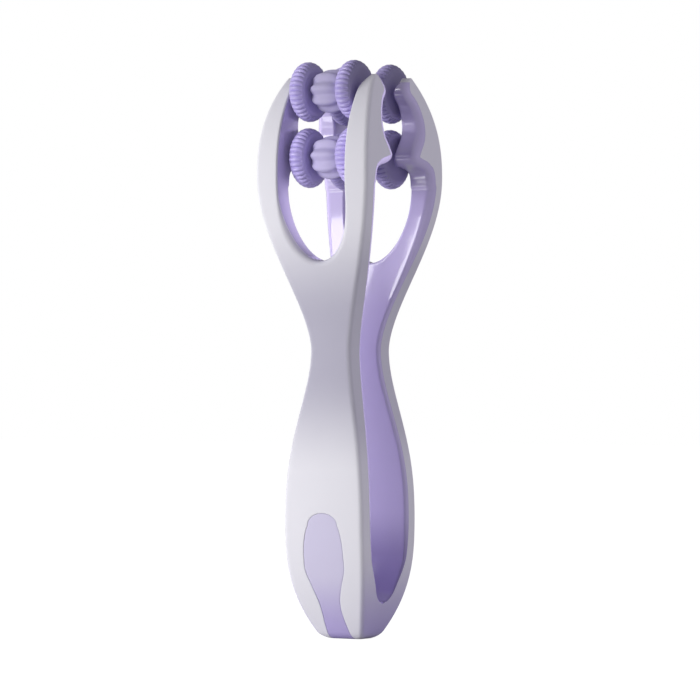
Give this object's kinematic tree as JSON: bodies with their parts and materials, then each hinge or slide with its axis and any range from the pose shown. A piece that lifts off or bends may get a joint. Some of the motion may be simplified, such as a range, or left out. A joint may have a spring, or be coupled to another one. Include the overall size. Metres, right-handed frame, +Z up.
{
  "type": "finger massage roller",
  "caption": "Hand-held finger massager: springy forked arms on a common foot carry ribbed wheels and lobed balls on axles, which roll along a finger held between them.",
  "frame": {"origin": "centre of the flat foot, at its lowest face", "axes": "+X along the axles to the right, +Y from the front arm to the rear arm, +Z up from the foot to the rollers"},
  "size_m": [0.0364, 0.041, 0.1598],
  "materials": {
    "shell": "pale pearl lavender, satin",
    "core": "purple, smooth and slightly glossy",
    "pad": "light purple, smooth satin",
    "wheel": "mid purple, satin",
    "ball": "light purple, satin",
    "axle": "drawn bar"
  },
  "bodies": {
    "base": {"base_shell": "shell", "base_core": "core"},
    "front_arm": {"front_arm_shell": "shell", "front_arm_core": "core", "front_thumb_pad": "pad", "front_lower_axle": "axle", "front_upper_axle": "axle"},
    "front_lower_ball": {"front_lower_ball": "ball"},
    "front_lower_left_wheel": {"front_lower_left_wheel": "wheel"},
    "front_lower_right_wheel": {"front_lower_right_wheel": "wheel"},
    "front_upper_ball": {"front_upper_ball": "ball"},
    "front_upper_left_wheel": {"front_upper_left_wheel": "wheel"},
    "front_upper_right_wheel": {"front_upper_right_wheel": "wheel"},
    "rear_arm": {"rear_arm_shell": "shell", "rear_arm_core": "core", "rear_thumb_pad": "pad", "rear_lower_axle": "axle", "rear_upper_axle": "axle"},
    "rear_lower_ball": {"rear_lower_ball": "ball"},
    "rear_lower_left_wheel": {"rear_lower_left_wheel": "wheel"},
    "rear_lower_right_wheel": {"rear_lower_right_wheel": "wheel"},
    "rear_upper_ball": {"rear_upper_ball": "ball"},
    "rear_upper_left_wheel": {"rear_upper_left_wheel": "wheel"},
    "rear_upper_right_wheel": {"rear_upper_right_wheel": "wheel"}
  },
  "joints": [
    {"name": "front_arm_flex", "type": "hinge", "parent": "base", "child": "front_arm", "pos_m": [0, -0.00822, 0.014], "axis": [1, 0, 0], "range_deg": [-0.35, 3], "stiffness_Nm_per_rad": 12},
    {"name": "front_lower_ball_spin", "type": "hinge", "parent": "front_arm", "child": "front_lower_ball", "pos_m": [0, -0.0093, 0.1332], "axis": [1, 0, 0], "continuous": true},
    {"name": "front_lower_left_wheel_spin", "type": "hinge", "parent": "front_arm", "child": "front_lower_left_wheel", "pos_m": [-0.00746, -0.0093, 0.1332], "axis": [1, 0, 0], "continuous": true},
    {"name": "front_lower_right_wheel_spin", "type": "hinge", "parent": "front_arm", "child": "front_lower_right_wheel", "pos_m": [0.00746, -0.0093, 0.1332], "axis": [1, 0, 0], "continuous": true},
    {"name": "front_upper_ball_spin", "type": "hinge", "parent": "front_arm", "child": "front_upper_ball", "pos_m": [0, -0.0093, 0.1515], "axis": [1, 0, 0], "continuous": true},
    {"name": "front_upper_left_wheel_spin", "type": "hinge", "parent": "front_arm", "child": "front_upper_left_wheel", "pos_m": [-0.00746, -0.0093, 0.1515], "axis": [1, 0, 0], "continuous": true},
    {"name": "front_upper_right_wheel_spin", "type": "hinge", "parent": "front_arm", "child": "front_upper_right_wheel", "pos_m": [0.00746, -0.0093, 0.1515], "axis": [1, 0, 0], "continuous": true},
    {"name": "rear_arm_flex", "type": "hinge", "parent": "base", "child": "rear_arm", "pos_m": [0, 0.00822, 0.014], "axis": [-1, 0, 0], "range_deg": [-0.35, 3], "stiffness_Nm_per_rad": 12},
    {"name": "rear_lower_ball_spin", "type": "hinge", "parent": "rear_arm", "child": "rear_lower_ball", "pos_m": [0, 0.0093, 0.1332], "axis": [1, 0, 0], "continuous": true},
    {"name": "rear_lower_left_wheel_spin", "type": "hinge", "parent": "rear_arm", "child": "rear_lower_left_wheel", "pos_m": [-0.00746, 0.0093, 0.1332], "axis": [1, 0, 0], "continuous": true},
    {"name": "rear_lower_right_wheel_spin", "type": "hinge", "parent": "rear_arm", "child": "rear_lower_right_wheel", "pos_m": [0.00746, 0.0093, 0.1332], "axis": [1, 0, 0], "continuous": true},
    {"name": "rear_upper_ball_spin", "type": "hinge", "parent": "rear_arm", "child": "rear_upper_ball", "pos_m": [0, 0.0093, 0.1515], "axis": [1, 0, 0], "continuous": true},
    {"name": "rear_upper_left_wheel_spin", "type": "hinge", "parent": "rear_arm", "child": "rear_upper_left_wheel", "pos_m": [-0.00746, 0.0093, 0.1515], "axis": [1, 0, 0], "continuous": true},
    {"name": "rear_upper_right_wheel_spin", "type": "hinge", "parent": "rear_arm", "child": "rear_upper_right_wheel", "pos_m": [0.00746, 0.0093, 0.1515], "axis": [1, 0, 0], "continuous": true}
  ]
}
